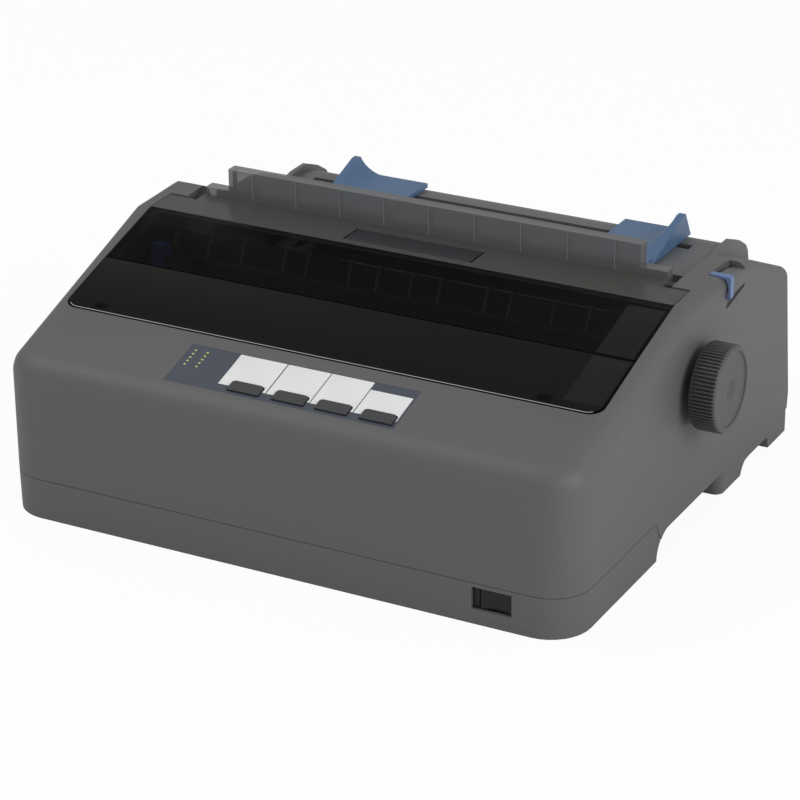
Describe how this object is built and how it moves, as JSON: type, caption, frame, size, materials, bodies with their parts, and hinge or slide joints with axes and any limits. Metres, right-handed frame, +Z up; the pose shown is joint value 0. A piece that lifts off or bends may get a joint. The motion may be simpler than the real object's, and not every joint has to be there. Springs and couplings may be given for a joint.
{
  "type": "dot matrix printer",
  "caption": "Desktop impact printer with a sloping wedge case, smoke tinted hinged cover, side platen knob, rear paper guide with sliding edge guides and a tractor feed.",
  "frame": {"origin": "on the floor under the middle of the overall box", "axes": "+X to the right as the user faces the front, +Y to the back, +Z up"},
  "size_m": [0.348, 0.281, 0.142],
  "materials": {
    "case": "fine texture, satin",
    "lever_blue": "satin",
    "guide_blue": "satin",
    "smoke": "polished, smoke tinted",
    "clear_smoke": "polished, light smoke tint",
    "rubber": "ground",
    "steel": "bright zinc",
    "board": "lacquered",
    "black_plastic": "satin",
    "switch": "satin",
    "label": "printed film",
    "button": "satin",
    "light": "clear",
    "white_plastic": "smooth",
    "grey_plastic": "satin",
    "ribbon": "inked woven nylon"
  },
  "bodies": {
    "chassis_body": {"lower_case": "case", "upper_case": "case", "rubber_feet": "rubber", "chassis_screws": "steel", "base_plate": "steel", "frame_left": "steel", "frame_right": "steel", "carriage_rod": "steel", "main_board": "board", "power_board": "board", "transformer": "steel", "ac_inlet": "black_plastic", "parallel_connector": "steel", "serial_connector": "steel", "usb_connector": "steel", "switch_housing": "black_plastic", "panel_label": "label", "panel_board": "board", "indicator_lights": "light", "platen_bushes": "white_plastic", "feed_motor": "steel", "paper_chute": "steel", "ribbed_guide": "black_plastic", "carriage_motor": "steel", "timing_belt": "rubber", "ribbon_cartridge": "black_plastic", "ribbon": "ribbon", "tractor_rod": "steel"},
    "platen_body": {"platen": "rubber", "platen_shaft": "steel", "platen_knob": "case", "platen_gear": "white_plastic"},
    "reduction_body": {"reduction_gear": "white_plastic"},
    "pinion_body": {"motor_pinion": "white_plastic"},
    "idler_body": {"idler_gear": "white_plastic"},
    "pinch_body": {"pinch_rollers": "rubber"},
    "tractor_shaft_body": {"tractor_shaft": "steel"},
    "tractor_left_body": {"tractor_left": "grey_plastic"},
    "tractor_right_body": {"tractor_right": "grey_plastic"},
    "sprocket_left_body": {"sprocket_left": "white_plastic"},
    "sprocket_right_body": {"sprocket_right": "white_plastic"},
    "flap_left_body": {"tractor_flap_left": "grey_plastic"},
    "flap_right_body": {"tractor_flap_right": "grey_plastic"},
    "carriage_body": {"carriage": "black_plastic", "print_head": "black_plastic"},
    "drive_pulley_body": {"drive_pulley": "white_plastic"},
    "idler_pulley_body": {"idler_pulley": "white_plastic"},
    "ribbon_knob_body": {"ribbon_knob": "lever_blue"},
    "cover_body": {"printer_cover": "smoke", "cover_plate": "clear_smoke"},
    "guide_body": {"paper_guide": "case"},
    "edge_left_body": {"edge_guide_left": "guide_blue"},
    "edge_right_body": {"edge_guide_right": "guide_blue"},
    "button_1_body": {"button_1": "button"},
    "button_2_body": {"button_2": "button"},
    "button_3_body": {"button_3": "button"},
    "button_4_body": {"button_4": "button"},
    "rocker_body": {"power_rocker": "switch"},
    "release_body": {"release_lever": "lever_blue"},
    "thickness_body": {"thickness_lever": "lever_blue"}
  },
  "joints": [
    {"name": "cover_hinge", "type": "hinge", "parent": "chassis_body", "child": "cover_body", "pos_m": [-0.0095, 0.03, 0.1205], "axis": [-1, 0, 0], "range_deg": [0, 60]},
    {"name": "guide_hinge", "type": "hinge", "parent": "chassis_body", "child": "guide_body", "pos_m": [-0.0095, 0.0515, 0.1095], "axis": [1, 0, 0], "range_deg": [0, 40]},
    {"name": "edge_left_slide", "type": "slide", "parent": "guide_body", "child": "edge_left_body", "axis": [1, 0, 0], "range_m": [-0.025, 0.06]},
    {"name": "edge_right_slide", "type": "slide", "parent": "guide_body", "child": "edge_right_body", "axis": [1, 0, 0], "range_m": [-0.06, 0.012]},
    {"name": "platen_spin", "type": "hinge", "parent": "chassis_body", "child": "platen_body", "pos_m": [-0.0095, 0.0053, 0.0815], "axis": [1, 0, 0], "continuous": true},
    {"name": "reduction_spin", "type": "hinge", "parent": "chassis_body", "child": "reduction_body", "pos_m": [-0.1595, 0.01255, 0.05445], "axis": [1, 0, 0], "continuous": true},
    {"name": "pinion_spin", "type": "hinge", "parent": "chassis_body", "child": "pinion_body", "pos_m": [-0.1565, 0.03145, 0.05112], "axis": [1, 0, 0], "continuous": true},
    {"name": "idler_spin", "type": "hinge", "parent": "chassis_body", "child": "idler_body", "pos_m": [-0.1595, 0.03724, 0.0796], "axis": [1, 0, 0], "continuous": true},
    {"name": "tractor_shaft_spin", "type": "hinge", "parent": "chassis_body", "child": "tractor_shaft_body", "pos_m": [-0.0095, 0.0642, 0.078], "axis": [1, 0, 0], "continuous": true},
    {"name": "pinch_spin", "type": "hinge", "parent": "chassis_body", "child": "pinch_body", "pos_m": [-0.0095, 0.0095, 0.0634], "axis": [1, 0, 0], "continuous": true},
    {"name": "tractor_left_slide", "type": "slide", "parent": "chassis_body", "child": "tractor_left_body", "axis": [1, 0, 0], "range_m": [-0.006, 0.06]},
    {"name": "tractor_right_slide", "type": "slide", "parent": "chassis_body", "child": "tractor_right_body", "axis": [1, 0, 0], "range_m": [-0.06, 0.02]},
    {"name": "sprocket_left_spin", "type": "hinge", "parent": "tractor_left_body", "child": "sprocket_left_body", "pos_m": [-0.1075, 0.0642, 0.078], "axis": [1, 0, 0], "continuous": true},
    {"name": "sprocket_right_spin", "type": "hinge", "parent": "tractor_right_body", "child": "sprocket_right_body", "pos_m": [0.0945, 0.0642, 0.078], "axis": [1, 0, 0], "continuous": true},
    {"name": "flap_left_hinge", "type": "hinge", "parent": "tractor_left_body", "child": "flap_left_body", "pos_m": [-0.118, 0.0655, 0.08991], "axis": [0, -1, 0], "range_deg": [0, 80]},
    {"name": "flap_right_hinge", "type": "hinge", "parent": "tractor_right_body", "child": "flap_right_body", "pos_m": [0.105, 0.0655, 0.08991], "axis": [0, 1, 0], "range_deg": [0, 80]},
    {"name": "carriage_slide", "type": "slide", "parent": "chassis_body", "child": "carriage_body", "axis": [1, 0, 0], "range_m": [-0.101, 0.101]},
    {"name": "drive_pulley_spin", "type": "hinge", "parent": "chassis_body", "child": "drive_pulley_body", "pos_m": [0.1125, -0.0645, 0.06], "axis": [0, 0, 1], "continuous": true},
    {"name": "idler_pulley_spin", "type": "hinge", "parent": "chassis_body", "child": "idler_pulley_body", "pos_m": [-0.1315, -0.0645, 0.06], "axis": [0, 0, 1], "continuous": true},
    {"name": "ribbon_knob_spin", "type": "hinge", "parent": "chassis_body", "child": "ribbon_knob_body", "pos_m": [-0.1045, -0.0645, 0.095], "axis": [0, 0, 1], "continuous": true},
    {"name": "button_1_press", "type": "slide", "parent": "chassis_body", "child": "button_1_body", "axis": [0, 0.2672, -0.9636], "range_m": [0, 0.0008], "stiffness_N_per_m": 800, "springref_m": -0.001},
    {"name": "button_2_press", "type": "slide", "parent": "chassis_body", "child": "button_2_body", "axis": [0, 0.2672, -0.9636], "range_m": [0, 0.0008], "stiffness_N_per_m": 800, "springref_m": -0.001},
    {"name": "button_3_press", "type": "slide", "parent": "chassis_body", "child": "button_3_body", "axis": [0, 0.2672, -0.9636], "range_m": [0, 0.0008], "stiffness_N_per_m": 800, "springref_m": -0.001},
    {"name": "button_4_press", "type": "slide", "parent": "chassis_body", "child": "button_4_body", "axis": [0, 0.2672, -0.9636], "range_m": [0, 0.0008], "stiffness_N_per_m": 800, "springref_m": -0.001},
    {"name": "rocker_tilt", "type": "hinge", "parent": "chassis_body", "child": "rocker_body", "pos_m": [0.1116, -0.1341, 0.0145], "axis": [0, 0, -1], "range_deg": [0, 10]},
    {"name": "release_hinge", "type": "hinge", "parent": "chassis_body", "child": "release_body", "pos_m": [0.1466, 0.0425, 0.042], "axis": [-1, 0, 0], "range_deg": [0, 13]},
    {"name": "thickness_hinge", "type": "hinge", "parent": "chassis_body", "child": "thickness_body", "pos_m": [-0.149, -0.0225, 0.084], "axis": [1, 0, 0], "range_deg": [-8, 8]}
  ],
  "couplings": [
    {"joint": "reduction_spin", "follows": "platen_spin", "ratio": -2.5},
    {"joint": "pinion_spin", "follows": "platen_spin", "ratio": 7.5},
    {"joint": "idler_spin", "follows": "platen_spin", "ratio": -1.6667},
    {"joint": "tractor_shaft_spin", "follows": "platen_spin", "ratio": 1.3333},
    {"joint": "sprocket_left_spin", "follows": "platen_spin", "ratio": 1.3333},
    {"joint": "sprocket_right_spin", "follows": "platen_spin", "ratio": 1.3333},
    {"joint": "pinch_spin", "follows": "platen_spin", "ratio": -2.193},
    {"joint": "drive_pulley_spin", "follows": "carriage_slide", "rad_per_m": -121.95},
    {"joint": "idler_pulley_spin", "follows": "carriage_slide", "rad_per_m": -121.95}
  ]
}
